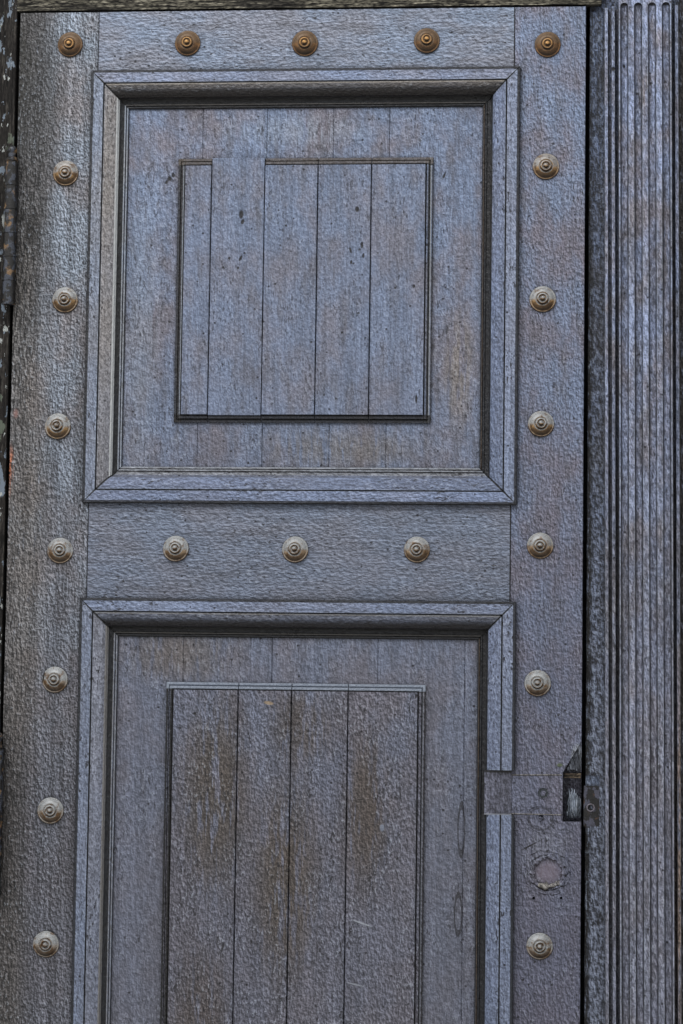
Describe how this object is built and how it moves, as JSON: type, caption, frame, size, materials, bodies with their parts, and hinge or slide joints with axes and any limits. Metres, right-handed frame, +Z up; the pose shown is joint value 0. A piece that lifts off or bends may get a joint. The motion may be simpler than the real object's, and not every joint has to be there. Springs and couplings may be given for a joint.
{
  "type": "panelled street door in its frame",
  "caption": "Old studded timber street door with two raised panels in mitred mouldings, hung on barrel hinges in its frame beside a fluted pilaster.",
  "frame": {"origin": "underside of the sill, below the middle of the leaf and in line with the leaf's outer face", "axes": "+Z up, -Y out to the street, +X to the right seen from the street (hinges at -X, pilaster at +X)"},
  "size_m": [0.9925, 0.155, 2.283],
  "materials": {
    "leaf_paint": "slate grey-blue oil paint, crackled and worn, satin",
    "weathered_timber": "dark weathered timber with remains of paint",
    "old_brass": "aged turned brass, dull with grey bloom",
    "painted_iron": "old iron under worn dark paint",
    "rusty_iron": "brown rust"
  },
  "bodies": {
    "frame": {"sill": "weathered_timber", "left_jamb": "weathered_timber", "right_post": "leaf_paint", "head": "weathered_timber", "left_stop": "weathered_timber", "right_stop": "weathered_timber", "head_stop": "weathered_timber", "pilaster": "leaf_paint", "keeper": "rusty_iron", "keeper_packing": "leaf_paint", "hinge_frame_screws": "rusty_iron", "top_hinge_frame_plate": "painted_iron", "middle_hinge_frame_plate": "painted_iron", "bottom_hinge_frame_plate": "painted_iron", "top_hinge_pin": "painted_iron", "middle_hinge_pin": "painted_iron", "bottom_hinge_pin": "painted_iron"},
    "leaf": {"bottom_hinge_leaf_plate": "painted_iron", "bottom_rail": "leaf_paint", "hinge_leaf_screws": "rusty_iron", "hinge_stile": "leaf_paint", "lock_stile": "leaf_paint", "lower_board_1": "leaf_paint", "lower_board_2": "leaf_paint", "lower_board_3": "leaf_paint", "lower_board_4": "leaf_paint", "lower_board_5": "leaf_paint", "lower_moulding_bottom": "leaf_paint", "lower_moulding_left": "leaf_paint", "lower_moulding_right": "leaf_paint", "lower_moulding_top": "leaf_paint", "lower_plank_1": "leaf_paint", "lower_plank_2": "leaf_paint", "lower_plank_3": "leaf_paint", "lower_plank_4": "leaf_paint", "middle_hinge_leaf_plate": "painted_iron", "middle_rail": "leaf_paint", "moulding_insert": "leaf_paint", "patch_plug": "leaf_paint", "rail_studs": "old_brass", "stile_patch": "leaf_paint", "stile_studs": "old_brass", "top_hinge_leaf_plate": "painted_iron", "top_rail": "leaf_paint", "upper_board_1": "leaf_paint", "upper_board_2": "leaf_paint", "upper_board_3": "leaf_paint", "upper_board_4": "leaf_paint", "upper_board_5": "leaf_paint", "upper_moulding_bottom": "leaf_paint", "upper_moulding_left": "leaf_paint", "upper_moulding_right": "leaf_paint", "upper_moulding_top": "leaf_paint", "upper_plank_1": "leaf_paint", "upper_plank_2": "leaf_paint", "upper_plank_3": "leaf_paint", "upper_plank_4": "leaf_paint", "upper_plank_5": "leaf_paint"}
  },
  "joints": [
    {"name": "leaf_swing", "type": "hinge", "parent": "frame", "child": "leaf", "pos_m": [-0.3825, -0.009, 1.125], "axis": [0, 0, -1], "range_deg": [0, 105]}
  ]
}
